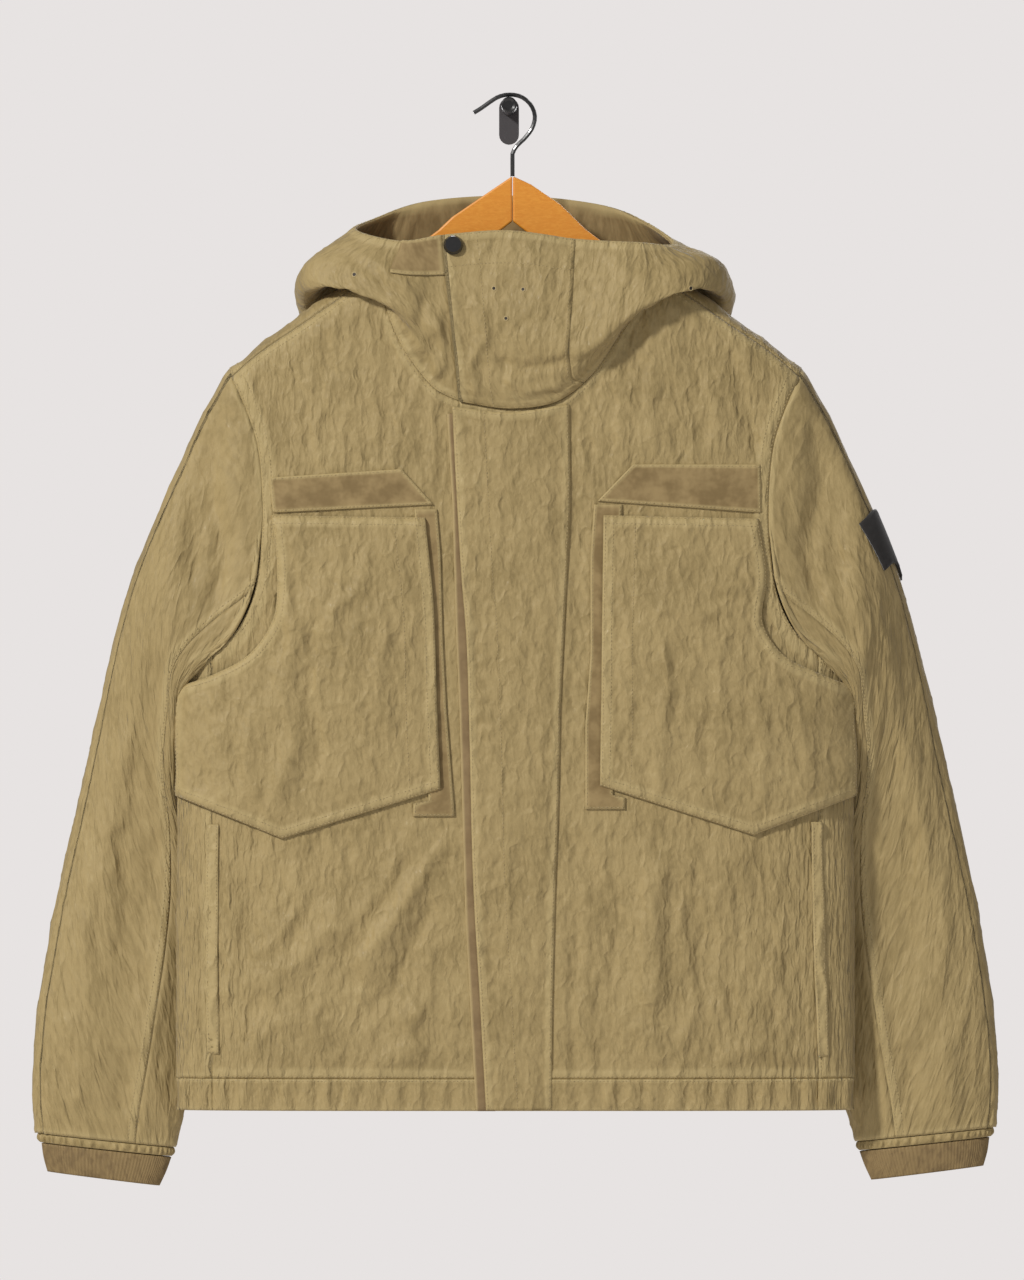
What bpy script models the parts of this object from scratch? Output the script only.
"""Short hooded parka, empty, hanging on a wooden hanger from a wall hook.

Frame: +X to the viewer's right, +Z up, the wall is the plane y = 0 and the
jacket faces -Y.  The origin is the centre of the back of the hook's plate.
Tables and sizes below are in millimetres; the meshes are written in metres.

The body of the jacket is one smooth surface, torso(girth, climb).  Each cut
piece is a patch of that surface between its own seams, given a wall and kept
SEAM_GAP from its neighbour.  What is sewn on is the same surface moved out.
"""
import math

import bmesh
import bpy
import numpy as np
from mathutils import Matrix, Vector
from mathutils.geometry import delaunay_2d_cdt

MM = 0.001
SEAM_GAP = 0.4
SEAM_RISE = 1.6
WALL = 1.8
TAPE_WALL = 1.3
TAPE_LIFT = 0.7
OVERLAY_LIFT = 2.5

# ---------------------------------------------------------------- body sizes
COAT_MID_X = 5.5
HALF_WIDTH = 288.0
MID_Y = -58.0
SIDE_POWER = 4.0
RIDGE_RADIUS = 30.0
RIDGE_QUARTER = RIDGE_RADIUS * math.pi / 2
FORWARD_SEAM = 23.0
HEM_SEAM_Z = -816.0
HEM_Z = -843.0
HEM_WAVE = 0.9
SIDE_SEAM = 257.0

# distance from the coat's middle, height of the shoulder ridge
SHOULDER = ((0, -42), (60, -83), (119, -124), (176, -163), (225, -197), (246, -216), (288, -261), (330, -310))
# height, half depth of the front, half depth of the back
DEPTHS = ((-900, 26, 19), (-843, 27, 20), (-760, 33, 22), (-600, 38, 23), (-420, 39, 22), (-250, 36, 21),
          (-120, 33, 20), (0, 32, 20))

# distance from the coat's middle, height: from the ridge down to the underarm
ARMHOLE_FRONT = ((244, -214), (232, -240), (220, -274), (215, -316), (216, -367), (225, -414), (241, -441),
                 (264, -457), (288, -468))
ARMHOLE_BACK = ((288, -468), (272, -461), (256, -450), (240, -427), (230, -390), (226, -340), (228, -290),
                (236, -245), (244, -214))
# x, height
NECK_FRONT_SHORT = ((-42, -241), (-59, -233), (-80, -210), (-97, -180), (-108, -146), (-113.5, -132.5))
NECK_FRONT_LONG = ((-42, -241), (5, -247), (40, -241), (70, -218), (88, -193), (108, -159), (124.5, -132.5))
NECK_BACK_DROP = ((0, -156), (45, -154), (85, -147), (108, -137))
ZIP_LINE = ((-11, -843), (-13, -816), (-17, -740), (-22, -640), (-27, -520), (-33, -420), (-38, -330), (-42, -241))

# folds pressed into the body: points (x, height), half width, height of the ridge (a minus is a trough)
FRONT_FOLDS = (
    (((-74, -640), (-88, -658), (-110, -698), (-129, -733)), 13, 5.0),
    (((-80, -628), (-98, -660), (-125, -705), (-142, -735)), 10, -3.0),
    (((-150, -660), (-150, -686), (-172, -711), (-203, -730), (-232, -742)), 12, 4.5),
    (((-119, -808), (-101, -799), (-71, -788)), 10, 4.0),
    (((-74, -757), (-94, -766)), 9, 3.5),
    (((-162, -762), (-158, -807)), 10, 3.0),
    (((118, -620), (127, -640), (121, -664), (118, -705), (122, -737), (122, -763)), 12, 5.0),
    (((104, -766), (121, -784), (128, -805)), 10, 3.5),
    (((180, -800), (196, -793), (218, -788), (240, -797), (260, -793)), 9, 4.0),
    (((150, -640), (165, -700), (160, -760)), 14, -3.0),
    (((-215, -640), (-222, -700), (-214, -770)), 13, -3.0),
    (((-150, -215), (-165, -265), (-160, -300)), 12, 2.5),
    (((165, -215), (182, -262), (175, -290)), 12, 2.5),
)
BACK_FOLDS = (
    (((-150, -430), (-120, -520), (-60, -590)), 16, 5.0),
    (((160, -430), (130, -530), (80, -610)), 16, 5.0),
    (((-210, -560), (-170, -650), (-150, -740)), 14, 4.0),
    (((215, -560), (180, -660), (165, -750)), 14, -4.0),
    (((-40, -640), (-20, -720), (-35, -790)), 14, 4.0),
    (((60, -690), (90, -760), (85, -805)), 12, 3.5),
    (((-110, -700), (-130, -790)), 12, 3.5),
)

# ------------------------------------------------------------- sleeve tables
# outer edge: out, height; inner edge: out, height; outer edge y, inner edge y, half depth
SLEEVE = (
    (252, -214, 287, -468, -58, -58, 34),
    (273, -254, 297, -486, -58, -57, 32),
    (295, -308, 299, -514, -55, -52, 30),
    (316, -362, 295, -554, -48, -44, 27),
    (337, -431, 284, -600, -39, -35, 24),
    (353, -498, 271, -643, -32, -28, 21.5),
    (371, -575, 263, -690, -27, -25, 20),
    (388, -650, 264, -738, -25, -24, 20),
    (401, -720, 270, -782, -25, -24, 20),
    (409, -780, 277, -822, -25, -24, 19),
    (411, -832, 285, -852, -24.5, -24, 18),
    (408, -864, 291, -876, -24, -24, 15),
)
BINDING = ((408, -864.8, 291, -876.8, -24, -24, 15.5), (406, -872, 293, -884, -24, -24, 14.5))
RIB_CUFF = ((404, -872.8, 294, -884.8, -24, -24, 13.2), (402.5, -884, 298, -896, -24, -24, 13),
            (399, -897, 304, -909, -24, -24, 12))
LEFT_CUFF_RISE = 5.0
SLEEVE_ROWS = 15
SLEEVE_BLEND_OUTER, SLEEVE_BLEND_INNER = 0.30, 0.13
SLEEVE_SQUARE = 0.86
SIDE_CLEAR = 5.0
SLEEVE_WALL = 1.5
SLEEVE_FRONT_SEAM = 6
SLEEVE_BACK_SEAM = 22
ARM_FRONT, ARM_SIDE, ARM_BACK = 9, 6, 11
ARM_COLUMNS = ARM_FRONT + ARM_SIDE + ARM_BACK
# fold at the underarm and down the sleeve: points (out, height), half width, depth
SLEEVE_FOLDS = (
    (((236, -236), (251, -262), (258, -306), (254, -335), (247, -365), (255, -413), (262, -428)), 10, -7.0),
    (((300, -330), (298, -400), (310, -470)), 14, 4.0),
    (((330, -520), (345, -600), (352, -660)), 14, 4.0),
    (((300, -600), (318, -680), (326, -750)), 13, -3.5),
    (((385, -760), (368, -800), (372, -845)), 10, 3.5),
    (((330, -790), (336, -850)), 10, -3.0),
)

# --------------------------------------------------------------- hood tables
# x, y, height at twelve stations round the neck, from the front zip to the
# viewer's left, round the back and home; the first ring is the neck seam itself
HOOD_STAND = ((-44, -97, -227), (-80, -100, -189), (-114, -86, -119), (-109, -31, -123), (-56, -29, -147),
              (5, -28, -150), (66, -29, -147), (120, -31, -123), (125, -86, -122), (92, -102, -180),
              (54, -99, -222), (3, -98, -232))
HOOD_LOW = ((-46, -98, -205), (-84, -104, -176), (-132, -87, -133), (-137, -27, -142), (-84, -25, -205),
            (5, -24, -225), (94, -25, -205), (148, -27, -142), (143, -88, -134), (101, -108, -171),
            (52, -104, -213), (2, -100, -211))
HOOD_MID = ((-50, -100, -172), (-93, -106, -160), (-160, -87, -144), (-170, -23, -177), (-104, -16, -300),
            (5, -15, -345), (114, -16, -300), (180, -23, -177), (169, -91, -147), (108, -112, -162),
            (51, -109, -197), (-2, -103, -176))
HOOD_HIGH = ((-54, -96, -135), (-100, -101, -134), (-167, -76, -123), (-172, -9, -150), (-112, -6, -205),
             (5, -5.5, -225), (122, -6, -205), (182, -9, -150), (174, -79, -121), (111, -104, -138),
             (54, -102, -150), (-2, -98, -135))
HOOD_RIM = ((-57, -90, -101), (-90, -88, -106), (-129, -70, -96), (-112, -33, -84), (-70, -18, -69),
            (5, -14, -64), (78, -18, -72), (116, -34, -88), (138, -68, -108), (109, -91, -107),
            (56, -91, -104), (-2, -92, -97))
# where the columns stand between the stations, closer where the neck seam rolls over the shoulder
HOOD_COLUMNS = (0, 0.5, 1, 1.5, 2, 2.25, 2.5, 2.75, 3, 3.5, 4, 4.5, 5, 5.5, 6, 6.5, 7, 7.25, 7.5, 7.75, 8,
                8.5, 9, 9.5, 10, 10.5, 11, 11.5)
HOOD_STEPS = (0, 0.5, 1, 1.33, 1.67, 2, 2.4, 2.75, 3, 3.25, 3.6, 4, 4.35, 4.7, 5)
NECK_SHORT, NECK_LONG = 4, 8
NECK_COLUMNS = len(HOOD_COLUMNS)
NECK_BACK = NECK_COLUMNS - NECK_SHORT - NECK_LONG
GUARD_COLUMNS = 5
HOOD_WALL = 1.3

# ------------------------------------------------------------ laid-on pieces
# x, height
PLACKET_LEFT = ((-19.5, -842), (-24.6, -750), (-30, -656), (-34, -503), (-36, -444), (-40, -393), (-44, -327),
                (-48, -246))
PLACKET_RIGHT = ((36, -842), (37, -750), (39, -665), (42, -580), (44, -495), (48, -410), (52, -325), (51, -244))
ZIP_TAPE_OUTER = ((-28, -842), (-37, -677), (-42, -503), (-44.7, -444), (-48, -327), (-52.4, -255))
POCKET_TOP = ((-201, -338), (-71, -340)), ((80, -338), (211, -341))
POCKET_OUTER = ((-201, -338), (-196, -388), (-200, -427), (-220, -456), (-250, -473), (-281, -484)), \
               ((211, -341), (218, -392), (215, -430), (232, -456), (262, -472), (292, -484))
POCKET_INNER = ((-58, -570), (-61, -495), (-64, -410), (-71, -340)), \
               ((77, -567), (78, -495), (79, -410), (80, -338))
POCKET_BOTTOM = ((-281, -576), (-192, -612), (-58, -570)), \
                ((77, -567), (207, -609), (292, -576))
POCKET_PUFF = 3.0
CHEST_TAPES = (((-203, -306), (-91, -299), (-64, -329), (-200, -336)),
               ((105, -295), (213, -295), (214, -336), (75, -326)))
# height, left edge x, right edge x
SIDE_TAPE_RIGHT = ((-333, -80, -61), (-370, -78, -58), (-444, -74, -56), (-503, -72, -53), (-540, -70, -50),
                   (-580, -68, -47), (-582, -81, -46.6), (-593, -81, -46))
SIDE_TAPE_LEFT = ((-329, 72, 96), (-374, 69, 92), (-456, 69, 90), (-516, 64.6, 88), (-575, 64.6, 88),
                  (-577, 64.6, 98.5), (-587, 64.6, 98))
WELT_RIGHT = ((-600, -256, -246), (-700, -257, -247), (-795, -256, -246))
WELT_LEFT = ((-598, 256, 265), (-700, 258, 268), (-797, 262, 271))

# ------------------------------------------------------------- hanger, hook
HANGER_MID_X = 3.0
HANGER_THICK = 12.0
# x out from the hanger's middle, height: crest to tip, then back under
HANGER_TOP = ((0.3, -49.5), (10, -51), (24, -57.5), (40, -71), (58, -91), (76, -105), (119, -125), (176, -163),
              (212, -188))
# how far the wood stays under the shoulder's ridge, so that the cloth rests on it
HANGER_CLEAR = 5.5
HANGER_UNDER = ((219, -201), (214, -212), (190, -210), (150, -191), (100, -159), (50, -124), (20, -103), (0.3, -88))
WIRE_RADIUS = 1.8
# x, height, from the tip over the peg and down into the wood
WIRE = ((-30, 4.5), (-23.5, 8.5), (-16.5, 13.5), (-8, 18.5), (1, 20), (10, 18.3), (18, 12), (22, 2), (20, -8), (13.5, -17),
        (6, -24.5), (3.2, -29.5), (3, -36), (3, -49.7))
PLATE_WIDTH, PLATE_HEIGHT, PLATE_THICK = 17.0, 40.0, 4.0
PEG_RADIUS, PEG_HEIGHT_Z, PEG_TIP_Y = 6.6, 11.3, -64.0
SNAP_RADIUS, SNAP_THICK = 8.4, 3.0

CLOTH = (0.37, 0.29, 0.135)
RIB = (0.27, 0.19, 0.078)
TAPE = (0.27, 0.19, 0.085)
LINING = (0.34, 0.26, 0.16)
WOOD = (0.72, 0.30, 0.055)
BLACK = (0.012, 0.012, 0.013)
PLATE_GREY = (0.06, 0.057, 0.06)


# ------------------------------------------------------------ curves, grids
def smooth_curve(points, count, even=True):
    """Cubic through the points with chord-length tangents, count + 1 points along it."""
    p = np.asarray(points, float)
    chord = np.r_[0.0, np.cumsum(np.linalg.norm(np.diff(p, axis=0), axis=1))]
    slope = np.gradient(p, chord, axis=0)
    t = np.linspace(0, chord[-1], 16 * count + 1)
    i = np.clip(np.searchsorted(chord, t, side="right") - 1, 0, len(p) - 2)
    step = (chord[i + 1] - chord[i])[:, None]
    f = (t - chord[i])[:, None] / step
    fine = ((2 * f**3 - 3 * f**2 + 1) * p[i] + (f**3 - 2 * f**2 + f) * step * slope[i]
            + (3 * f**2 - 2 * f**3) * p[i + 1] + (f**3 - f**2) * step * slope[i + 1])
    if not even:
        return fine[::16]
    return resample(fine, count)


def resample(points, count, shares=None):
    """count + 1 points along a polyline, evenly or at the given shares of its length."""
    p = np.asarray(points, float)
    run = np.r_[0.0, np.cumsum(np.linalg.norm(np.diff(p, axis=0), axis=1))]
    t = run[-1] * (np.linspace(0, 1, count + 1) if shares is None else shares)
    return np.stack([np.interp(t, run, p[:, k]) for k in range(p.shape[1])], axis=1)


def joined(*curves):
    """Curves end to end, each shared end kept once."""
    return np.concatenate([curves[0]] + [c[1:] for c in curves[1:]])


def coons(bottom, top, left, right):
    """Grid between four borders: rows follow left and right, columns bottom and top."""
    n, m = len(bottom), len(left)
    u = np.linspace(0, 1, n)[None, :, None]
    v = np.linspace(0, 1, m)[:, None, None]
    ruled_v = (1 - v) * bottom[None] + v * top[None]
    ruled_u = (1 - u) * left[:, None] + u * right[:, None]
    corners = ((1 - u) * (1 - v) * bottom[0] + u * (1 - v) * bottom[-1]
               + (1 - u) * v * top[0] + u * v * top[-1])
    return ruled_v + ruled_u - corners


def unit(v):
    return v / np.maximum(np.linalg.norm(v, axis=-1, keepdims=True), 1e-9)


def smoothstep(t):
    t = np.clip(t, 0, 1)
    return t * t * (3 - 2 * t)


def fold_height(x, z, folds):
    """Sum of soft ridges and troughs along the folds' polylines."""
    total = np.zeros(np.shape(x))
    for path, width, height in folds:
        best = np.full(np.shape(x), 1e9)
        for (ax, az), (bx, bz) in zip(path[:-1], path[1:]):
            dx, dz = bx - ax, bz - az
            t = np.clip(((x - ax) * dx + (z - az) * dz) / (dx * dx + dz * dz), 0, 1)
            best = np.minimum(best, np.hypot(x - ax - t * dx, z - az - t * dz))
        total = total + height * np.exp(-(best / width) ** 2)
    return total


# ------------------------------------------------------- the jacket's body
_shoulder = smooth_curve(SHOULDER, 60, even=False)
_depths = np.asarray(DEPTHS, float)


def shoulder_z(out):
    return np.interp(np.abs(out), _shoulder[:, 0], _shoulder[:, 1])


def torso_point(girth, climb):
    """girth: 0 front middle, +-1 the side folds, 2 back middle; climb: height unrolled over the ridge."""
    s, c = np.sin(girth * math.pi / 2), np.cos(girth * math.pi / 2)
    out = HALF_WIDTH * s
    ridge = shoulder_z(out)
    over = ridge - climb
    run = np.abs(over)
    roll = np.sign(over) * np.sin(np.minimum(run / RIDGE_RADIUS, math.pi / 2))
    drop = np.where(run < RIDGE_QUARTER, RIDGE_RADIUS * (1 - np.cos(np.minimum(run, RIDGE_QUARTER) / RIDGE_RADIUS)),
                    RIDGE_RADIUS + run - RIDGE_QUARTER)
    z = ridge - drop
    x = COAT_MID_X + out
    facing = np.sign(c) * np.sqrt(np.maximum(1 - np.abs(s) ** SIDE_POWER, 0)) * roll
    front_depth = np.interp(z, _depths[:, 0], _depths[:, 1])
    back_depth = np.interp(z, _depths[:, 0], _depths[:, 2])
    flat = smoothstep(np.abs(facing) / 0.6)
    y_front = MID_Y - front_depth * facing - flat * fold_height(x, z, FRONT_FOLDS)
    y_back = MID_Y - back_depth * facing + flat * fold_height(x, z, BACK_FOLDS)
    return np.stack([x, np.where(facing > 0, y_front, y_back), z], axis=-1)


def torso(girth, climb):
    """Points of the body and their outward normals."""
    dg, dc = 2e-3, 0.6
    along = torso_point(girth + dg, climb) - torso_point(girth - dg, climb)
    up = torso_point(girth, climb + dc) - torso_point(girth, climb - dc)
    return torso_point(girth, climb), unit(np.cross(along, up))


def climb_of(x, z):
    """The climb of a height z on the side that faces the viewer or the wall."""
    ridge = shoulder_z(x - COAT_MID_X)
    drop = np.maximum(ridge - z, 0)
    rolled = RIDGE_RADIUS * np.arccos(np.clip(1 - drop / RIDGE_RADIUS, 0, 1))
    return ridge - np.where(drop < RIDGE_RADIUS, rolled, RIDGE_QUARTER + drop - RIDGE_RADIUS)


def girth_of(x, back=False):
    g = np.arcsin(np.clip((x - COAT_MID_X) / HALF_WIDTH, -1, 1)) * 2 / math.pi
    return 2 - g if back else g


def on_front(points):
    """(x, z) points to (girth, climb) on the front."""
    p = np.asarray(points, float)
    return np.stack([girth_of(p[..., 0]), climb_of(p[..., 0], p[..., 1])], axis=-1)


def on_back(points):
    p = np.asarray(points, float)
    return np.stack([girth_of(p[..., 0], True), climb_of(p[..., 0], p[..., 1])], axis=-1)


def inset(grid, gap=SEAM_GAP / 2, sides="lrbt"):
    """Draw a (girth, climb) grid's borders in from its seams by gap millimetres."""
    g = grid.copy()
    p = torso_point(grid[..., 0], grid[..., 1])
    for side in sides:
        edge = {"l": np.s_[:, 0], "r": np.s_[:, -1], "b": np.s_[0], "t": np.s_[-1]}[side]
        near = {"l": np.s_[:, 1], "r": np.s_[:, -2], "b": np.s_[1], "t": np.s_[-2]}[side]
        reach = np.linalg.norm(p[near] - p[edge], axis=-1, keepdims=True)
        g[edge] = g[edge] + (grid[near] - grid[edge]) * gap / np.maximum(reach, gap)
    return g


# --------------------------------------------------------- making the nodes
def material(name, colour, roughness=0.75, metallic=0.0):
    m = bpy.data.materials.get(name) or bpy.data.materials.new(name)
    m.use_nodes = True
    shader = m.node_tree.nodes["Principled BSDF"]
    shader.inputs["Base Color"].default_value = (*colour, 1)
    shader.inputs["Roughness"].default_value = roughness
    shader.inputs["Metallic"].default_value = metallic
    return m


def place(name, mesh, mat):
    obj = bpy.data.objects.new(name, mesh)
    mesh.materials.append(mat)
    parka.objects.link(obj)
    return obj


def shell(name, outer, inner, mat, ring=False):
    """A wall between two like grids of points (rows, columns, 3); ring joins the last column to the first.

    Each cell is split along its shorter diagonal, so a sheared cell doesn't cut across a curve.
    """
    rows, cols = outer.shape[:2]
    last = cols if ring else cols - 1
    i, j = np.meshgrid(np.arange(rows - 1), np.arange(last), indexing="ij")
    a, b = i * cols + j, i * cols + (j + 1) % cols
    c, d = b + cols, a + cols
    flat = outer.reshape(-1, 3)
    short = np.linalg.norm(flat[a] - flat[c], axis=-1) <= np.linalg.norm(flat[b] - flat[d], axis=-1)
    one = np.where(short[..., None], np.stack([a, b, c], -1), np.stack([a, b, d], -1))
    two = np.where(short[..., None], np.stack([a, c, d], -1), np.stack([b, c, d], -1))
    skin = np.concatenate([one, two]).reshape(-1, 3)
    half = rows * cols
    faces = [skin, skin[:, ::-1] + half]
    k = np.arange(last)
    edges = [np.stack([k, (k + 1) % cols], 1), np.stack([(k + 1) % cols, k], 1) + (rows - 1) * cols]
    if not ring:
        r = np.arange(rows - 1) * cols
        edges += [np.stack([r + cols, r], 1), np.stack([r, r + cols], 1) + cols - 1]
    for e in edges:
        faces.append(np.stack([e[:, 1], e[:, 0], e[:, 0] + half], 1))
        faces.append(np.stack([e[:, 1], e[:, 0] + half, e[:, 1] + half], 1))
    mesh = bpy.data.meshes.new(name)
    points = np.concatenate([outer.reshape(-1, 3), inner.reshape(-1, 3)]) * MM
    mesh.from_pydata(points.tolist(), [], np.concatenate(faces).tolist())
    face_out(mesh)
    return place(name, mesh, mat)


def face_out(mesh):
    bm = bmesh.new()
    bm.from_mesh(mesh)
    bmesh.ops.recalc_face_normals(bm, faces=bm.faces)
    if bm.calc_volume(signed=True) < 0:
        bmesh.ops.reverse_faces(bm, faces=bm.faces)
    bm.to_mesh(mesh)
    bm.free()
    mesh.shade_smooth()
    mesh.set_sharp_from_angle(angle=math.radians(40))


def cloth_piece(name, grid, mat, wall=WALL, lift=0.0):
    """A piece of cloth on the body: its outer face lies lift + wall out where it is laid on."""
    p, n = torso(grid[..., 0], grid[..., 1])
    lift = np.asarray(lift)[..., None] if np.ndim(lift) else lift
    if np.ndim(lift) or lift > 0:
        return shell(name, p + n * (lift + wall), p + n * lift, mat)
    return shell(name, p, p - n * wall, mat)


def level_ridge(points, way=1):
    """Count the climb of (girth, climb) points from the shoulder's ridge, or with way -1 back from there."""
    out = HALF_WIDTH * np.sin(points[:, 0] * math.pi / 2)
    return np.stack([points[:, 0], points[:, 1] - way * shoulder_z(out)], axis=1)


def bordered_piece(name, border, inside, mat):
    """A piece of the body cut to a closed border of (girth, climb) points, with loose points inside it."""
    scale = np.array([GIRTH_MM, 1.0])
    edge = level_ridge(border) * scale
    along = np.roll(edge, -1, 0) - np.roll(edge, 1, 0)
    turned = unit(np.stack([-along[:, 1], along[:, 0]], axis=1))
    area = np.sum(edge[:, 0] * np.roll(edge[:, 1], -1) - np.roll(edge[:, 0], -1) * edge[:, 1])
    edge = edge + turned * math.copysign(SEAM_GAP / 2, area)
    loose = level_ridge(inside) * scale
    count = len(edge)
    spots = [Vector(q) for q in np.concatenate([edge, loose])]
    made, _, faces, _, _, _ = delaunay_2d_cdt(spots, [], [list(range(count))], 1, 0.0001)
    flat = level_ridge(np.array([tuple(q) for q in made]) / scale, -1)
    p, n = torso(flat[:, 0], flat[:, 1])
    skin = np.array([list(f) for f in faces])
    half = len(p)
    sides = np.concatenate([skin[:, [0, 1]], skin[:, [1, 2]], skin[:, [2, 0]]])
    met = set(map(tuple, sides.tolist()))
    rim = np.array([(a, b) for a, b in sides.tolist() if (b, a) not in met])
    walls = np.concatenate([np.stack([rim[:, 1], rim[:, 0], rim[:, 0] + half], 1),
                            np.stack([rim[:, 1], rim[:, 0] + half, rim[:, 1] + half], 1)])
    mesh = bpy.data.meshes.new(name)
    points = np.concatenate([p, p - n * WALL]) * MM
    mesh.from_pydata(points.tolist(), [], np.concatenate([skin, skin[:, ::-1] + half, walls]).tolist())
    face_out(mesh)
    return place(name, mesh, mat)


def ring_walls(p):
    """Outward ways at a ring grid's points and how much longer they are in folds, to keep a wall's thickness.

    The columns run clockwise seen from above and the rows run away from the body.
    """
    after = np.roll(p, -1, 1)
    face = unit(np.cross(after[1:] - p[:-1], after[:-1] - p[1:]))
    face = np.concatenate([face[:1], face, face[-1:]])
    around = face[:-1], face[1:], np.roll(face[:-1], 1, 1), np.roll(face[1:], 1, 1)
    n = unit(sum(around))
    met = sum(np.sum(n * f, axis=-1, keepdims=True) for f in around) / 4
    wide = np.concatenate([p[:1], p, p[-1:]])
    bulge = np.sum((wide[2:] + wide[:-2] - 2 * p) * n, axis=-1, keepdims=True)
    return n, 1 / np.clip(met, np.where(bulge < 0, 0.45, 0.65), 1)


# ------------------------------------------------------------- seam samples
GIRTH_MM = HALF_WIDTH * math.pi / 2
SEAM_GIRTH = math.asin(SIDE_SEAM / HALF_WIDTH) * 2 / math.pi


def resample_on_body(points, count, shares=None):
    """Resample (girth, climb) points with the girth counted in millimetres."""
    scale = np.array([GIRTH_MM, 1.0])
    return resample(np.asarray(points, float) * scale, count, shares) / scale


def from_middle(table, back=False):
    """(distance out, height) rows to (girth, climb) on the side of positive girth."""
    p = smooth_curve(table, 60)
    p[:, 0] = np.minimum(p[:, 0] + COAT_MID_X, COAT_MID_X + HALF_WIDTH)
    return on_back(p) if back else on_front(p)


def armhole(side):
    """One armhole seam as (girth, climb): down the front, round the side, up the back and over the ridge."""
    front, back = from_middle(ARMHOLE_FRONT), from_middle(ARMHOLE_BACK, True)
    over = shoulder_z(HALF_WIDTH * np.sin(front[:, 0] * math.pi / 2)) - front[:, 1]
    start = np.argmax(over > FORWARD_SEAM)
    start_out = HALF_WIDTH * math.sin(front[start, 0] * math.pi / 2)
    end = np.array([[2 - front[start, 0], shoulder_z(start_out) + FORWARD_SEAM]])
    loop = np.concatenate([front[start:], back[1:], end])
    first = np.argmax(loop[:, 0] > SEAM_GIRTH)
    last = np.argmax(loop[:, 0] > 2 - SEAM_GIRTH)
    side_girth = np.linspace(SEAM_GIRTH, 2 - SEAM_GIRTH, ARM_SIDE + 1)
    around = np.stack([side_girth, np.interp(side_girth, loop[first - 1:last + 1, 0],
                                             loop[first - 1:last + 1, 1])], axis=1)
    down = resample_on_body(np.concatenate([loop[:first], around[:1]]), ARM_FRONT)
    up = resample_on_body(np.concatenate([around[-1:], loop[last:]]), ARM_BACK)
    flip = np.array([side, 1.0])
    return down * flip, around * flip, up * flip


def neck_back():
    """The neck seam from the viewer's left corner over the ridge, round the back and to the right corner."""
    corner = 119.0
    over_ridge = np.array([[corner, shoulder_z(corner) + FORWARD_SEAM], [corner - 0.5, shoulder_z(corner) + 8],
                           [corner - 4, shoulder_z(corner - 4) - 10]])
    low = np.asarray(NECK_BACK_DROP[::-1], float)
    low_climb = climb_of(low[:, 0] + COAT_MID_X, low[:, 1])
    half = np.concatenate([over_ridge, np.stack([low[:, 0], low_climb], axis=1)])
    right = smooth_curve(half, 40)
    whole = np.concatenate([right * [-1, 1], right[::-1][1:]])
    girth = girth_of(whole[:, 0] + COAT_MID_X, True)
    stations = np.asarray(HOOD_COLUMNS[NECK_SHORT:NECK_SHORT + NECK_BACK + 1])
    shares = (stations - stations[0]) / (stations[-1] - stations[0])
    return resample_on_body(np.stack([girth, whole[:, 1]], axis=1), NECK_BACK, shares)


def neck_front(table, count):
    return on_front(smooth_curve(table, count))


def shoulder_seam(side, armhole_top, count):
    """The forward shoulder seam from the neck corner out to the armhole, on the front."""
    outer = abs(HALF_WIDTH * math.sin(armhole_top[0] * math.pi / 2))
    out = np.linspace(119.0, outer, count + 1)
    girth = side * np.arcsin(out / HALF_WIDTH) * 2 / math.pi
    return np.stack([girth, shoulder_z(out) - FORWARD_SEAM], axis=1)


def to_back(points):
    """Seam points on the front of the ridge as the back piece, which rolls over the ridge, counts them."""
    out = HALF_WIDTH * np.sin(points[:, 0] * math.pi / 2)
    ridge = shoulder_z(out)
    return np.stack([2 - points[:, 0], 2 * ridge - points[:, 1]], axis=1)


HEM_ROWS, SHOULDER_COLUMNS, BACK_COLUMNS = 11, 4, 16
# how far past the ridge the back's rows lie before they turn level
ROWS_OVER_RIDGE = (-14, 2, 18, 36, 58)


def side_line(girth, top_climb, count):
    """A side seam from the hem seam up to the armhole at one girth."""
    x = COAT_MID_X + HALF_WIDTH * math.sin(girth * math.pi / 2)
    low = climb_of(x, HEM_SEAM_Z)
    return np.stack([np.full(count + 1, girth), np.linspace(low, top_climb, count + 1)], axis=1)


def hem_line(girth_a, girth_b, count, z):
    girth = np.linspace(girth_a, girth_b, count + 1)
    x = COAT_MID_X + HALF_WIDTH * np.sin(girth * math.pi / 2)
    return np.stack([girth, climb_of(x, z)], axis=1)


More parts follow.
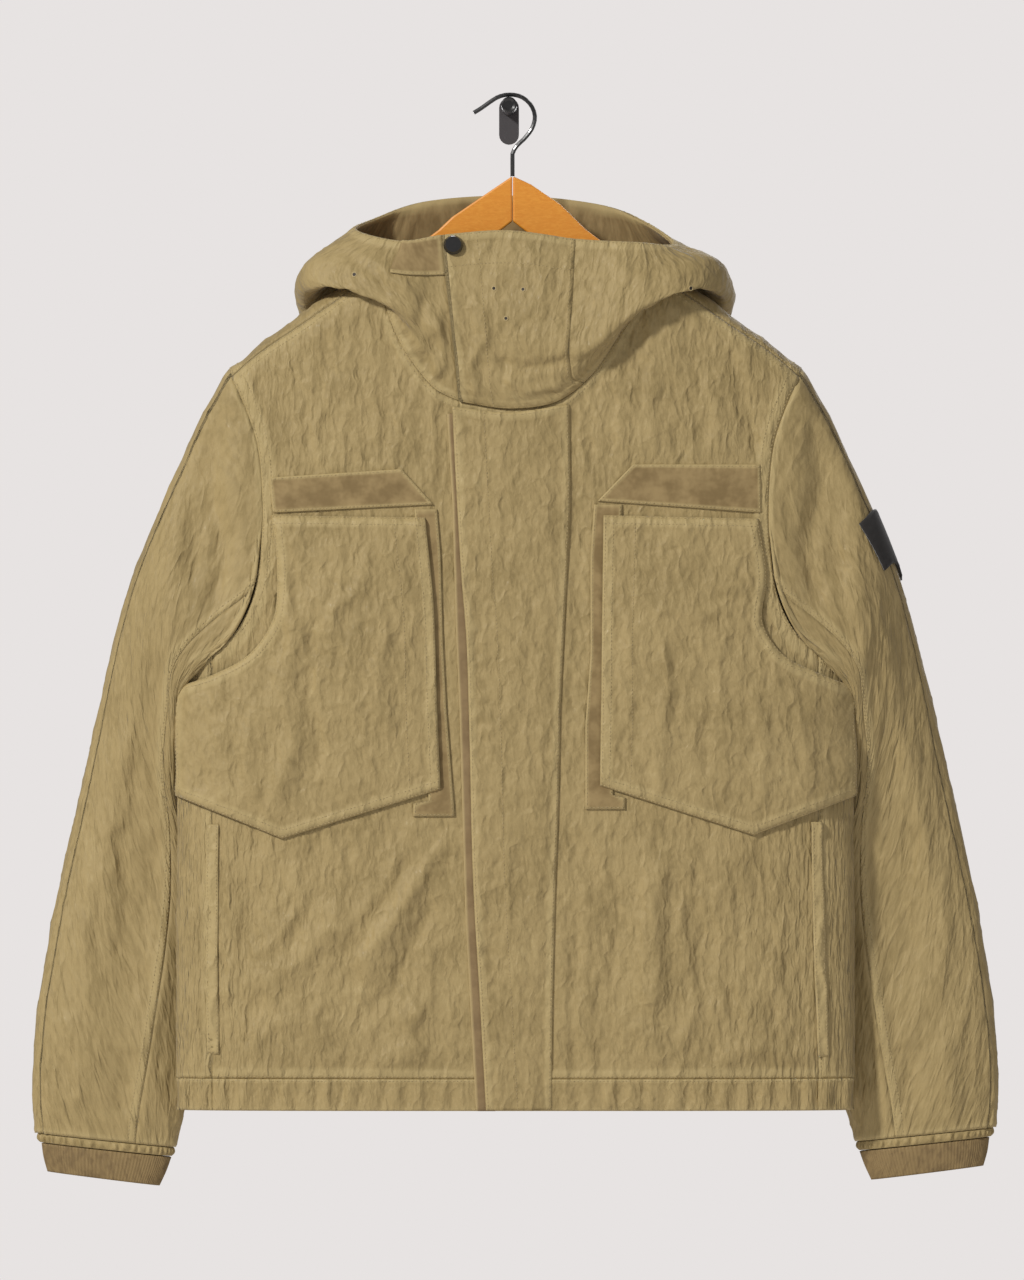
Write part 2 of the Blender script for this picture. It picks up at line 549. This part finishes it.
def back_points(border):
    """Even points inside the back's border, in rows that follow the ridge and then turn level."""
    out = np.linspace(-SIDE_SEAM, SIDE_SEAM, BACK_COLUMNS + 1)
    ridge, foot = shoulder_z(out), climb_of(COAT_MID_X + out, HEM_SEAM_Z)
    rows = [ridge - over for over in ROWS_OVER_RIDGE]
    rows += [rows[-1] + (foot - rows[-1]) * k / 17 for k in range(1, 17)]
    girth = girth_of(COAT_MID_X + out, True)
    spots = np.stack([np.tile(girth, len(rows)), np.concatenate(rows)], axis=1)
    scale = np.array([GIRTH_MM, 1.0])
    a = level_ridge(border) * scale
    b = np.roll(a, -1, 0)
    q = (level_ridge(spots) * scale)[:, None]
    span = b - a
    t = np.clip(np.sum((q - a) * span, axis=-1) / np.sum(span * span, axis=-1), 0, 1)
    near = np.linalg.norm(q - a - t[..., None] * span, axis=-1).min(axis=1)
    crosses = (a[:, 1] > q[..., 1]) != (b[:, 1] > q[..., 1])
    rise = np.where(np.abs(span[:, 1]) < 1e-9, 1e-9, span[:, 1])
    left_of = q[..., 0] < a[:, 0] + span[:, 0] * (q[..., 1] - a[:, 1]) / rise
    inside = np.sum(crosses & left_of, axis=1) % 2 == 1
    return spots[inside & (near > 9)]


# ------------------------------------------------------------- body pieces
def zip_line(count):
    """The front's edge at the zip, from the hem seam up to the neck."""
    curve = smooth_curve(ZIP_LINE, 80)
    above = curve[curve[:, 1] > HEM_SEAM_Z]
    foot = [[np.interp(HEM_SEAM_Z, curve[:, 1], curve[:, 0]), HEM_SEAM_Z]]
    return on_front(resample(np.concatenate([foot, above]), count))


def build_body():
    cloth = material("crinkled_cloth", CLOTH)
    arm = {side: armhole(side) for side in (-1, 1)}
    rows = HEM_ROWS + ARM_FRONT
    opening = zip_line(rows)

    for side, name, neck, columns in ((-1, "front_right", NECK_FRONT_SHORT, NECK_SHORT),
                                      (1, "front_left", NECK_FRONT_LONG, NECK_LONG)):
        down, around, up = arm[side]
        outer = joined(side_line(side * SEAM_GIRTH, around[0, 1], HEM_ROWS), down[::-1])
        top = joined(shoulder_seam(side, down[0], SHOULDER_COLUMNS)[::-1], neck_front(neck, columns)[::-1])
        foot = hem_line(side * SEAM_GIRTH, opening[0, 0], SHOULDER_COLUMNS + columns, HEM_SEAM_Z)
        grid = coons(foot, top, outer, opening)
        if side > 0:
            grid = grid[:, ::-1]
        cloth_piece(name, inset(grid), cloth)

    for side, name in ((-1, "side_right"), (1, "side_left")):
        down, around, up = arm[side]
        foot = hem_line(side * SEAM_GIRTH, side * (2 - SEAM_GIRTH), ARM_SIDE, HEM_SEAM_Z)
        grid = coons(foot, around, side_line(side * SEAM_GIRTH, around[0, 1], HEM_ROWS),
                     side_line(side * (2 - SEAM_GIRTH), around[-1, 1], HEM_ROWS))
        if side < 0:
            grid = grid[:, ::-1]
        cloth_piece(name, inset(grid), cloth)

    left_up, right_up = arm[-1][2] + [4, 0], arm[1][2]
    left = joined(side_line(2 + SEAM_GIRTH, left_up[0, 1], HEM_ROWS), left_up)
    right = joined(side_line(2 - SEAM_GIRTH, right_up[0, 1], HEM_ROWS), right_up)
    top = joined(to_back(shoulder_seam(-1, arm[-1][0][0], SHOULDER_COLUMNS)[::-1]), neck_back(),
                 to_back(shoulder_seam(1, arm[1][0][0], SHOULDER_COLUMNS)))
    foot = hem_line(2 + SEAM_GIRTH, 2 - SEAM_GIRTH, BACK_COLUMNS, HEM_SEAM_Z)
    border = joined(left, top, right[::-1], foot[::-1])[:-1]
    bordered_piece("back", border, back_points(border), cloth)
    return arm


def build_hem():
    """The hem band in three lengths, gathered into small even waves."""
    cloth = material("crinkled_cloth", CLOTH)
    zip_girth = float(girth_of(ZIP_LINE[1][0]))
    lengths = (("hem_front_right", -SEAM_GIRTH, zip_girth, 26), ("hem_front_left", zip_girth, SEAM_GIRTH, 38),
               ("hem_back", SEAM_GIRTH, 4 - SEAM_GIRTH, 62))
    for name, start, end, columns in lengths:
        grid = np.stack([hem_line(start, end, columns, z) for z in (HEM_Z, (HEM_Z + HEM_SEAM_Z) / 2, HEM_SEAM_Z)])
        grid = inset(grid)
        p, n = torso(grid[..., 0], grid[..., 1])
        wave = HEM_WAVE * np.cos(math.pi * np.arange(columns + 1))
        under_placket = np.abs(p[0, :, 0] - 5) < 48
        wave = np.where(under_placket & (p[0, :, 1] < MID_Y), 0, wave)
        wave = np.array([0.5, 1.0, 0.0])[:, None] * wave
        p = p + n * wave[..., None]
        shell(name, p, p - n * WALL, cloth)


# ------------------------------------------------------------------ sleeves
def ring_axes(rows):
    """Centre and half axis of each flattened ring, as (out, y, z): the axis points to the outer edge."""
    outer, inner = rows[:, [0, 4, 1]], rows[:, [2, 5, 3]]
    return (outer + inner) / 2, (outer - inner) / 2


def oval(rows, along, aslant, across, side):
    """Points of flattened rings from their places along, square to and across the ring's axis."""
    centre, axis = ring_axes(rows)
    square = unit(np.stack([axis[:, 2], np.zeros(len(rows)), -axis[:, 0]], axis=-1))
    p = (centre[:, None] + along[..., None] * axis[:, None] + aslant[..., None] * square[:, None])
    p[..., 1] -= across * rows[:, 6:7]
    return np.stack([COAT_MID_X + side * p[..., 0], p[..., 1], p[..., 2]], axis=-1)


def squarish(wave):
    return np.sign(wave) * np.abs(wave) ** SLEEVE_SQUARE


def clear_of_side(p):
    """Move what lies within the body, below the armhole, out to SIDE_CLEAR from it."""
    seam = np.asarray(ARMHOLE_FRONT[4:], float)
    x, y, z = (p[..., k] for k in range(3))
    out = np.abs(x - COAT_MID_X)
    below = z < np.interp(out, seam[:, 0], seam[:, 1]) + 8
    side = np.sign(x - COAT_MID_X)
    width = HALF_WIDTH + SIDE_CLEAR
    for _ in range(4):
        ahead = y < MID_Y
        depth = np.where(ahead, np.interp(z, _depths[:, 0], _depths[:, 1]),
                         np.interp(z, _depths[:, 0], _depths[:, 2])) + SIDE_CLEAR
        value = (out / width) ** 4 + ((y - MID_Y) / depth) ** 2 - 1
        slope_out, slope_y = 4 * out**3 / width**4, 2 * (y - MID_Y) / depth**2
        step = np.where(below & (value < 0), -value / (slope_out**2 + slope_y**2), 0)
        out, y = out + step * slope_out, y + step * slope_y
    return np.stack([COAT_MID_X + side * out, y, z], axis=-1)


def sleeve_grid(side, arm):
    """Rings from the armhole seam to the cuff: points and outward normals, columns round from the front top."""
    down, around, up = arm
    seam = joined(down, around, up)[:-1]
    loop, loop_normal = torso(seam[:, 0], seam[:, 1])
    rows = smooth_curve(SLEEVE, SLEEVE_ROWS)
    s = np.linspace(0, 1, SLEEVE_ROWS + 1)[:, None]
    centre, axis = ring_axes(rows[:1])
    reach = np.linalg.norm(axis[0, [0, 2]])
    away = np.stack([side * (loop[:, 0] - COAT_MID_X) - centre[0, 0], loop[:, 2] - centre[0, 2]], axis=-1)
    along = away @ axis[0, [0, 2]] / reach**2
    aslant = (away[:, 0] * axis[0, 2] - away[:, 1] * axis[0, 0]) / reach
    across = (MID_Y - loop[:, 1]) / rows[0, 6]
    first = np.unwrap(np.arctan2(across * np.where(across > 0, 1, 1.6), along))
    even = first[0] + np.arange(ARM_COLUMNS) * math.tau / ARM_COLUMNS
    angles = first + (even - first) * smoothstep(s / SLEEVE_BLEND_OUTER)
    keep = 1 - smoothstep(s / (SLEEVE_BLEND_INNER + (SLEEVE_BLEND_OUTER - SLEEVE_BLEND_INNER) * (1 + np.cos(first)) / 2))
    round_along, round_across = squarish(np.cos(angles)), squarish(np.sin(angles))
    p = oval(rows, round_along + keep * (along - round_along), keep * aslant,
             round_across + keep * (across - round_across), side)
    relief = fold_height(np.abs(p[..., 0] - COAT_MID_X), p[..., 2], SLEEVE_FOLDS) * smoothstep(s / 0.06)
    p[..., 1] -= relief * (smoothstep(round_across / 0.5) - 0.5 * smoothstep(-round_across / 0.5))
    p[1:] = clear_of_side(p[1:])
    if side > 0:
        p[..., 2] += LEFT_CUFF_RISE * s**2
    n = ring_walls(p)[0] * -side
    mitre_first_ring(p, n, loop_normal, SLEEVE_WALL)
    return p, n


def mitre_first_ring(p, n, seam_normal, wall):
    """Part a tube's first ring from the seam that it shares.

    Where the tube turns away from the cloth that it is sewn to, its wall stays on its own side of the seam.
    """
    facing = np.sum(n[0] * seam_normal, axis=-1, keepdims=True)
    same = smoothstep((facing + 0.1) / 0.9)
    round_it = unit(np.roll(p[0], -1, 0) - np.roll(p[0], 1, 0))
    away = p[1] - p[0]
    away = unit(away - np.sum(away * round_it, axis=-1, keepdims=True) * round_it)
    p[0] = p[0] + away * SEAM_GAP / 2 - (n[0] * (wall + SEAM_GAP) - seam_normal * SEAM_RISE) * (1 - same)
    n[0] = unit(same * seam_normal + (1 - same) * n[0])


def drawn_in(p, gap=SEAM_GAP / 2):
    """Move a grid's first and last columns in by gap, square to themselves."""
    q = p.copy()
    down = unit(np.gradient(p, axis=0))
    for edge, near in ((0, 1), (-1, -2)):
        over = p[:, near] - p[:, edge]
        over = over - np.sum(over * down[:, edge], axis=-1, keepdims=True) * down[:, edge]
        q[:, edge] += unit(over) * gap
    return q


def build_sleeve(side, name, arm):
    cloth, rib = material("crinkled_cloth", CLOTH), material("rib_knit", RIB)
    p, n = sleeve_grid(side, arm)
    upper = np.r_[SLEEVE_BACK_SEAM:ARM_COLUMNS, 0:SLEEVE_FRONT_SEAM + 1]
    under = np.r_[SLEEVE_FRONT_SEAM:SLEEVE_BACK_SEAM + 1]
    for part, columns in (("upper", upper), ("under", under)):
        inner = drawn_in(p[:, columns])
        shell("sleeve_%s_%s" % (part, name), inner + n[:, columns] * SLEEVE_WALL, inner, cloth)
    for part, table, columns, wave, mat in (("cuff_binding", BINDING, 48, 0.7, cloth), ("rib_cuff", RIB_CUFF, 32, 0, rib)):
        angles = np.arange(columns) * math.tau / columns
        table = np.asarray(table, float)
        around, across = squarish(np.cos(angles)), squarish(np.sin(angles))
        ring = oval(table, np.tile(around, (len(table), 1)), np.zeros((len(table), columns)),
                    np.tile(across, (len(table), 1)), side)
        if side > 0:
            ring[..., 2] += LEFT_CUFF_RISE
        normal = ring_walls(ring)[0] * -side
        ring = ring + normal * (wave * np.cos(math.pi * np.arange(columns)))[None, :, None]
        shell("%s_%s" % (part, name), ring, ring - normal * WALL, mat, ring=True)
    return p, n


BADGE_LIFT = 1.5


def build_patch(p, n):
    """The black badge on the wearer's left upper arm, round the sleeve's outer edge."""
    columns = np.arange(-3, 2)
    ends = np.stack([2.65 - 0.15 * columns, 3.68 - 0.18 * columns])
    rows = np.stack([ends[0], (ends[0] + ends[1]) / 2, ends[1]])
    whole = rows.astype(int)
    share = (rows - whole)[..., None]
    base, normal = (q[whole, columns] * (1 - share) + q[whole + 1, columns] * share for q in (p, n))
    seat = base + unit(normal) * (SLEEVE_WALL + BADGE_LIFT)
    shell("arm_patch", seat + normal * 1.6, seat, material("black_patch", BLACK))


# --------------------------------------------------------------------- hood
def round_stations(stations):
    """The columns of a closed ring: a cubic through its twelve stations, read at HOOD_COLUMNS."""
    s = np.asarray(stations, float)
    t = np.asarray(HOOD_COLUMNS)
    i = t.astype(int)
    f = (t - i)[:, None]
    before, here, after, beyond = (s[(i + k) % len(s)] for k in (-1, 0, 1, 2))
    return here + f * ((after - before) / 2 + f * (before - 2.5 * here + 2 * after - beyond / 2
                       + f * (1.5 * (here - after) + (beyond - before) / 2)))


def hood_grid():
    seam = neck_front(NECK_FRONT_SHORT, NECK_SHORT)
    long_way = neck_front(NECK_FRONT_LONG, NECK_LONG)[::-1]
    back = neck_back()
    p0, n0 = torso(seam[:-1, 0], seam[:-1, 1])
    p1, n1 = torso(back[:, 0], back[:, 1])
    p2, n2 = torso(long_way[1:-1, 0], long_way[1:-1, 1])
    neck = np.concatenate([p0, p1, p2])
    neck_normal = np.concatenate([n0, n1, n2])
    rings = np.stack([neck] + [round_stations(r) for r in (HOOD_STAND, HOOD_LOW, HOOD_MID, HOOD_HIGH, HOOD_RIM)])
    slope = np.gradient(rings, axis=0)
    rise = np.diff(rings[..., 2], axis=0)
    slope[1:-1, :, 2] *= rise[1:] * rise[:-1] > 0
    slope[3, :, 1] *= np.where(rings[3, :, 1] > MID_Y, 1.7, 1)
    t = np.asarray(HOOD_STEPS)
    i = np.minimum(t.astype(int), len(rings) - 2)
    f = (t - i)[:, None, None]
    p = ((2 * f**3 - 3 * f**2 + 1) * rings[i] + (f**3 - 2 * f**2 + f) * slope[i]
         + (3 * f**2 - 2 * f**3) * rings[i + 1] + (f**3 - f**2) * slope[i + 1])
    n, longer = ring_walls(p)
    mitre_first_ring(p, n, neck_normal, HOOD_WALL)
    return p, n * longer


def build_hood():
    cloth, tape = material("crinkled_cloth", CLOTH), material("grosgrain", TAPE)
    p, n = hood_grid()
    shell("hood", p + n * HOOD_WALL, p, cloth, ring=True)
    guard = np.r_[NECK_COLUMNS - GUARD_COLUMNS + 1:NECK_COLUMNS, 0]
    seat = p[:, guard] + n[:, guard] * (HOOD_WALL + 0.6)
    shell("chin_guard", seat + n[:, guard] * 1.8, seat, cloth)
    band = np.r_[1:NECK_COLUMNS - GUARD_COLUMNS + 1]
    for name, rows, mat in (("hood_rim_band", np.s_[-3:], tape),
                            ("hood_lining", np.s_[-5:-2], material("lining", LINING, 0.6))):
        base, normal = drawn_in(p[rows][:, band], 1.0), n[rows][:, band]
        if name == "hood_lining":
            base[-1] += unit(base[-2] - base[-1]) * 0.6
        shell(name, base - normal * 0.4, base - normal * 1.6, mat)
    tab_rows, tab_columns = np.s_[-4:], np.r_[0:3]
    base, normal = drawn_in(p[tab_rows][:, tab_columns], 1.0), n[tab_rows][:, tab_columns]
    shell("chin_tab", base + normal * (HOOD_WALL + 1.9), base + normal * (HOOD_WALL + 0.6), tape)
    snap_seat = p[-2, 0] + (p[-2, NECK_COLUMNS - 1] - p[-2, 0]) * 0.35
    add_disc("snap_cap", snap_seat + n[-2, 0] * 4.8, n[-2, 0], SNAP_RADIUS, SNAP_THICK, material("black_metal", BLACK, 0.3))


def add_disc(name, seat, normal, radius, thick, mat):
    """A domed button, turned from its profile."""
    mesh = bpy.data.meshes.new(name)
    bm = bmesh.new()
    bmesh.ops.create_cone(bm, cap_ends=True, segments=24, radius1=radius * MM, radius2=radius * 0.8 * MM,
                          depth=thick * MM)
    bmesh.ops.transform(bm, matrix=Matrix.Translation((0, 0, thick / 2 * MM)), verts=bm.verts)
    bm.to_mesh(mesh)
    bm.free()
    obj = place(name, mesh, mat)
    obj.location = Vector(seat) * MM
    obj.rotation_euler = Vector(normal).to_track_quat("Z", "Y").to_euler()
    return obj


# ----------------------------------------------------------- laid-on pieces
def build_tapes():
    tape = material("grosgrain", TAPE)
    for name, corners in zip(("chest_tape_right", "chest_tape_left"), CHEST_TAPES):
        a, b, c, d = (np.asarray(q, float) for q in corners)
        grid = coons(resample([d, c], 6), resample([a, b], 6), resample([d, a], 2), resample([c, b], 2))
        cloth_piece(name, on_front(grid), tape, TAPE_WALL, TAPE_LIFT)
    for name, table in (("side_tape_right", SIDE_TAPE_RIGHT), ("side_tape_left", SIDE_TAPE_LEFT),
                        ("pocket_welt_right", WELT_RIGHT), ("pocket_welt_left", WELT_LEFT)):
        strip(name, table, tape if "side" in name else material("crinkled_cloth", CLOTH))


def strip(name, table, mat):
    """A narrow strip down the front: rows of height, left edge, right edge."""
    t = np.asarray(table[::-1], float)
    grid = np.stack([np.stack([t[:, 1], t[:, 0]], -1), np.stack([(t[:, 1] + t[:, 2]) / 2, t[:, 0]], -1),
                     np.stack([t[:, 2], t[:, 0]], -1)], axis=1)
    long_gaps = [grid[:1]]
    for a, b in zip(grid[:-1], grid[1:]):
        steps = max(1, round(abs(b[0, 1] - a[0, 1]) / 30))
        f = (np.arange(1, steps + 1) / steps)[:, None, None]
        long_gaps.append(a + (b - a) * f)
    cloth_piece(name, on_front(np.concatenate(long_gaps)), mat, TAPE_WALL, TAPE_LIFT)


def build_placket():
    left, right = smooth_curve(PLACKET_LEFT, 22), smooth_curve(PLACKET_RIGHT, 22)
    top = smooth_curve([left[-1], (0, -251), right[-1]], 4)
    foot = resample([left[0], right[0]], 4)
    cloth_piece("placket", on_front(coons(foot, top, left, right)), material("crinkled_cloth", CLOTH), 2.0, OVERLAY_LIFT)
    zipper = smooth_curve(ZIP_LINE, 22)
    edge = np.asarray(ZIP_TAPE_OUTER, float)
    outer = np.stack([np.interp(zipper[:, 1], edge[:, 1], edge[:, 0]), zipper[:, 1]], axis=1)
    inner = zipper - [0.6, 0]
    grid = np.stack([outer, (outer + inner) / 2, inner], axis=1)[:-1]
    grid[0, :, 1] += 1.0
    cloth_piece("zip_tape", on_front(grid), material("zip_tape", TAPE), TAPE_WALL, TAPE_LIFT)


def build_pockets():
    for k, name in enumerate(("pocket_right", "pocket_left")):
        outer_line, inner_line = POCKET_OUTER[k], POCKET_INNER[k]
        bottom_line, top_line = POCKET_BOTTOM[k], POCKET_TOP[k]
        side_low, side_high = (bottom_line[0], outer_line[-1]) if k == 0 else (bottom_line[-1], outer_line[-1])
        outer = joined(resample([side_low, side_high], 3), smooth_curve(outer_line[::-1], 7))
        inner = smooth_curve(inner_line, 10)
        corner = bottom_line[1]
        bottom = joined(resample([bottom_line[0], corner], 4), resample([corner, bottom_line[2]], 4))
        top = resample(top_line, 8)
        left, right = (outer, inner) if k == 0 else (inner, outer)
        grid = coons(bottom, top, left, right)
        v, u = np.meshgrid(np.linspace(0, 1, 11), np.linspace(0, 1, 9), indexing="ij")
        puff = POCKET_PUFF * (np.sin(math.pi * u) * np.sin(math.pi * v)) ** 0.7
        side_lift = 1.6 * smoothstep((np.abs(grid[..., 0] - COAT_MID_X) - 200) / 60)
        cloth_piece(name, on_front(grid), material("crinkled_cloth", CLOTH), WALL, OVERLAY_LIFT + puff + side_lift)


# --------------------------------------------------------- hanger and hook
def flat_outline(name, outline, thick, mid_y, bevel, mat):
    """An upright board: its outline as a flat curve, given its thickness and soft edges."""
    curve = bpy.data.curves.new(name, "CURVE")
    curve.dimensions = "2D"
    curve.fill_mode = "BOTH"
    curve.extrude = thick / 2 * MM
    spline = curve.splines.new("POLY")
    spline.points.add(len(outline) - 1)
    for point, (x, z) in zip(spline.points, outline):
        point.co = (x * MM, z * MM, 0, 1)
    spline.use_cyclic_u = True
    obj = bpy.data.objects.new(name, curve)
    parka.objects.link(obj)
    obj.location = (0, mid_y * MM, 0)
    obj.rotation_euler = (math.pi / 2, 0, 0)
    curve.materials.append(mat)
    weld = obj.modifiers.new("weld", "WELD")
    weld.merge_threshold = 0.00001
    if bevel:
        edge = obj.modifiers.new("soft_edges", "BEVEL")
        edge.width = bevel * MM
        edge.segments = 2
        edge.limit_method = "ANGLE"
        edge.angle_limit = math.radians(50)
    return obj


def build_hanger():
    wood = material("varnished_wood", WOOD, 0.35)
    top, under = smooth_curve(HANGER_TOP, 16), smooth_curve(HANGER_UNDER, 14)
    outline = np.concatenate([top, under])
    for side, name in ((-1, "hanger_arm_right"), (1, "hanger_arm_left")):
        across = HANGER_MID_X + side * outline[:, 0]
        highest = shoulder_z(across - COAT_MID_X) - HANGER_CLEAR
        points = list(zip(across, np.minimum(outline[:, 1], highest)))
        flat_outline(name, points if side > 0 else points[::-1], HANGER_THICK, MID_Y, 2.0, wood)

    wire = bpy.data.curves.new("hanger_hook", "CURVE")
    wire.dimensions = "3D"
    wire.bevel_depth = WIRE_RADIUS * MM
    wire.bevel_resolution = 2
    wire.use_fill_caps = True
    route = smooth_curve(WIRE, 32)
    spline = wire.splines.new("POLY")
    spline.points.add(len(route) - 1)
    for point, (x, z) in zip(spline.points, route):
        point.co = (x * MM, MID_Y * MM, z * MM, 1)
    hook = bpy.data.objects.new("hanger_hook", wire)
    wire.materials.append(material("black_metal", BLACK, 0.3))
    parka.objects.link(hook)
    weld = hook.modifiers.new("weld", "WELD")
    weld.merge_threshold = 0.00001


def build_wall_hook():
    grey = material("plate_grey", PLATE_GREY, 0.6)
    radius = PLATE_WIDTH / 2
    straight = PLATE_HEIGHT / 2 - radius
    turn = np.linspace(0, math.pi, 11)
    outline = [(radius * math.cos(a), straight + radius * math.sin(a)) for a in turn]
    outline += [(-x, -z) for x, z in outline]
    flat_outline("wall_plate", outline, PLATE_THICK, -PLATE_THICK / 2, 0.8, grey)

    profile = [(0, PEG_TIP_Y + 1.2), (3.5, PEG_TIP_Y + 1.0), (5.4, PEG_TIP_Y), (PEG_RADIUS, PEG_TIP_Y + 0.8),
               (PEG_RADIUS, -PLATE_THICK - 0.3), (0, -PLATE_THICK - 0.3)]
    mesh = bpy.data.meshes.new("wall_peg")
    mesh.from_pydata([(r * MM, 0, -y * MM) for r, y in profile], [(i, i + 1) for i in range(len(profile) - 1)], [])
    peg = place("wall_peg", mesh, material("black_metal", BLACK, 0.3))
    peg.location = (0, 0, PEG_HEIGHT_Z * MM)
    peg.rotation_euler = (math.pi / 2, 0, 0)
    turned = peg.modifiers.new("turned", "SCREW")
    turned.axis = "Z"
    turned.steps = turned.render_steps = 28
    turned.use_merge_vertices = True
    turned.merge_threshold = 0.00001


# --------------------------------------------------------------------- main
for old in list(bpy.data.objects):
    bpy.data.objects.remove(old, do_unlink=True)
parka = bpy.data.collections.new("short_parka")
bpy.context.scene.collection.children.link(parka)

armholes = build_body()
build_hem()
for sleeve_side, sleeve_name in ((-1, "right"), (1, "left")):
    sleeve_points, sleeve_normals = build_sleeve(sleeve_side, sleeve_name, armholes[sleeve_side])
build_patch(sleeve_points, sleeve_normals)
build_hood()
build_tapes()
build_placket()
build_pockets()
build_hanger()
build_wall_hook()
